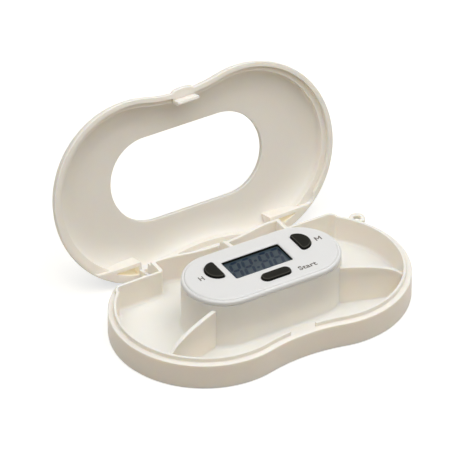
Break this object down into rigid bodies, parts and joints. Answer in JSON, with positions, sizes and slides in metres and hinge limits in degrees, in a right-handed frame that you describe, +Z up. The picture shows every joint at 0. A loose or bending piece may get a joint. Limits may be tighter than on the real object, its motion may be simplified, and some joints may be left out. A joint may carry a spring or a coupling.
{
  "type": "electronic pill box",
  "caption": "Peanut-shaped plastic pill box with a built-in countdown timer, divided tray and a hinged lid with a window over the timer's display.",
  "frame": {"origin": "centre of the underside, on the timer's base plate", "axes": "+X along the box to the right when the display reads upright, +Y to the hinge side, +Z up"},
  "size_m": [0.115, 0.0949, 0.0665],
  "materials": {
    "ivory_plastic": "satin moulded ivory",
    "white_plastic": "satin moulded white",
    "black_plastic": "fine matt black",
    "display_glass": "polarised display glass, opaque blue-grey",
    "grey_rubber": "matt",
    "board": "green solder mask",
    "steel": "plain",
    "gilt_steel": "gilt spring strip",
    "brass": "plain rolled",
    "ceramic": "fired and silvered",
    "red_cover": "extruded wire cover"
  },
  "bodies": {
    "tray": {"base_tray": "ivory_plastic", "hinge_pin_left": "steel", "hinge_pin_right": "steel", "timer_cover": "white_plastic", "timer_base": "ivory_plastic", "battery_cell": "steel", "contact_negative": "gilt_steel", "contact_positive": "gilt_steel", "display_frame": "black_plastic", "display_glass": "display_glass", "connector_front": "grey_rubber", "connector_rear": "grey_rubber", "circuit_board": "board", "chip_blob": "black_plastic", "crystal": "steel", "snap_dome_hour": "gilt_steel", "snap_dome_minute": "gilt_steel", "snap_dome_start": "gilt_steel", "buzzer_disc": "brass", "buzzer_ceramic": "ceramic", "buzzer_wire_red": "red_cover", "buzzer_wire_black": "black_plastic", "cover_screw_left": "steel", "cover_screw_right": "steel", "board_screw_left": "steel", "board_screw_front_left": "steel", "board_screw_front_right": "steel"},
    "lid": {"lid_shell": "ivory_plastic"},
    "hour_button": {"button_hour": "black_plastic"},
    "minute_button": {"button_minute": "black_plastic"},
    "start_button": {"button_start": "black_plastic"},
    "door": {"battery_door": "ivory_plastic"}
  },
  "joints": [
    {"name": "lid_hinge", "type": "hinge", "parent": "tray", "child": "lid", "pos_m": [0, 0.0315, 0.0046], "axis": [1, 0, 0], "range_deg": [0, 105.5]},
    {"name": "hour_press", "type": "slide", "parent": "tray", "child": "hour_button", "axis": [0, 0, -1], "range_m": [0, 0.0007], "stiffness_N_per_m": 300},
    {"name": "minute_press", "type": "slide", "parent": "tray", "child": "minute_button", "axis": [0, 0, -1], "range_m": [0, 0.0007], "stiffness_N_per_m": 300},
    {"name": "start_press", "type": "slide", "parent": "tray", "child": "start_button", "axis": [0, 0, -1], "range_m": [0, 0.0007], "stiffness_N_per_m": 300},
    {"name": "battery_door_twist", "type": "hinge", "parent": "tray", "child": "door", "pos_m": [-0.012, 0, 0], "axis": [0, 0, 1], "range_deg": [0, 60]}
  ]
}
